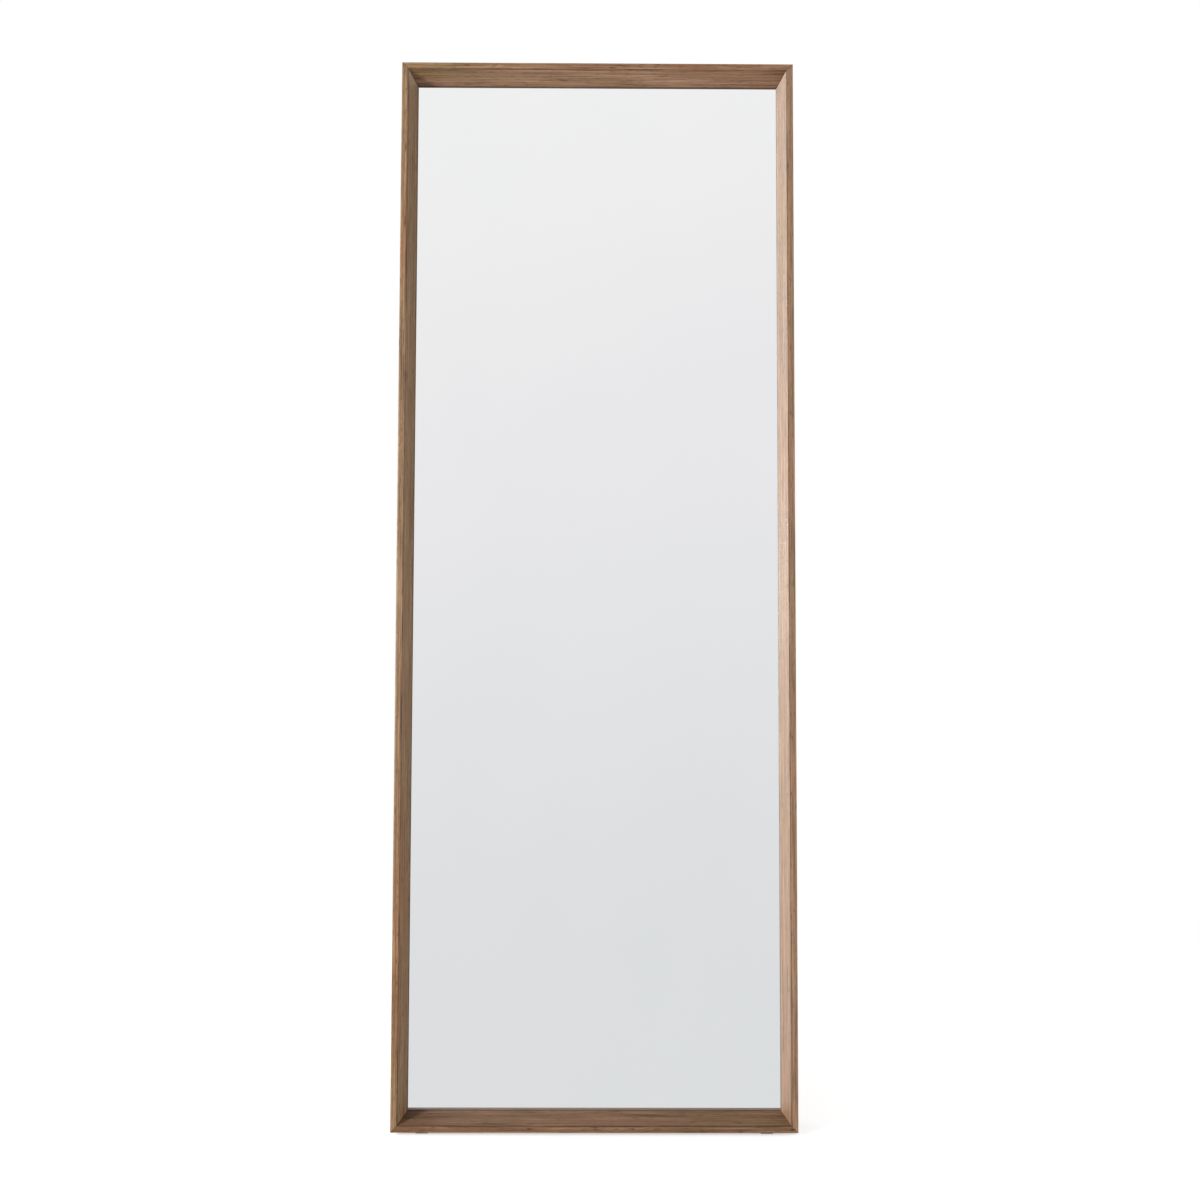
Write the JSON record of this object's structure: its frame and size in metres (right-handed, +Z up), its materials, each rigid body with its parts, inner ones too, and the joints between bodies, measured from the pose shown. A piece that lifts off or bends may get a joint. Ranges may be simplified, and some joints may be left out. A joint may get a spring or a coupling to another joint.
{
  "type": "free-standing full-length floor mirror",
  "caption": "Full-length mirror in a deep mitred brown wooden box frame with splayed reveals, leaning back slightly on a hinged rear stand that folds flat.",
  "frame": {"origin": "on the floor, under the middle of the whole mirror with its stand open", "axes": "+Z up, the mirror faces -Y, +X to the right of a viewer in front of it"},
  "size_m": [0.6, 0.392, 1.6131],
  "materials": {
    "frame_wood": "satin",
    "stand_wood": "satin",
    "plain_wood": "matte",
    "hardboard": "matte",
    "card": "matte",
    "mirror_glass": "polished",
    "hinge_steel": "satin",
    "screw_metal": "satin",
    "rubber": "matte",
    "webbing": "matte"
  },
  "bodies": {
    "mirror": {"bottom_rail": "frame_wood", "top_rail": "frame_wood", "left_stile": "frame_wood", "right_stile": "frame_wood", "corner_spline_bl": "plain_wood", "corner_spline_br": "plain_wood", "corner_spline_tl": "plain_wood", "corner_spline_tr": "plain_wood", "mirror_glass": "mirror_glass", "cushion_sheet": "card", "backboard": "hardboard", "bottom_fillet": "plain_wood", "top_fillet": "plain_wood", "left_lower_fillet": "plain_wood", "left_upper_fillet": "plain_wood", "right_lower_fillet": "plain_wood", "right_upper_fillet": "plain_wood", "strap_rail": "plain_wood", "strap_rail_screw_left": "screw_metal", "strap_rail_screw_right": "screw_metal", "hinge_rail": "stand_wood", "hinge_rail_screw_left_lower": "screw_metal", "hinge_rail_screw_left_upper": "screw_metal", "hinge_rail_screw_right_lower": "screw_metal", "hinge_rail_screw_right_upper": "screw_metal", "left_fixed_leaf": "hinge_steel", "right_fixed_leaf": "hinge_steel", "fixed_leaf_screw_left_a": "screw_metal", "fixed_leaf_screw_left_b": "screw_metal", "fixed_leaf_screw_right_a": "screw_metal", "fixed_leaf_screw_right_b": "screw_metal", "left_hinge_pin": "hinge_steel", "right_hinge_pin": "hinge_steel", "front_clamp_plate": "hinge_steel", "front_plate_screw_left": "screw_metal", "front_plate_screw_right": "screw_metal", "left_glide": "rubber", "right_glide": "rubber", "glide_screw_left": "screw_metal", "glide_screw_right": "screw_metal", "stay_strap": "webbing"},
    "stand": {"left_leg": "stand_wood", "right_leg": "stand_wood", "stand_top_rail": "stand_wood", "stand_mid_rail": "stand_wood", "stand_low_rail": "stand_wood", "left_moving_leaf": "hinge_steel", "right_moving_leaf": "hinge_steel", "moving_leaf_screw_left_a": "screw_metal", "moving_leaf_screw_left_b": "screw_metal", "moving_leaf_screw_right_a": "screw_metal", "moving_leaf_screw_right_b": "screw_metal", "rear_clamp_plate": "hinge_steel", "rear_plate_screw_left": "screw_metal", "rear_plate_screw_right": "screw_metal", "left_foot_pad": "rubber", "right_foot_pad": "rubber"}
  },
  "joints": [
    {"name": "stand_fold", "type": "hinge", "parent": "mirror", "child": "stand", "pos_m": [0, -0.0473, 1.08403], "axis": [-1, 0, 0], "range_deg": [0, 16], "deforming": ["stay_strap"]}
  ]
}
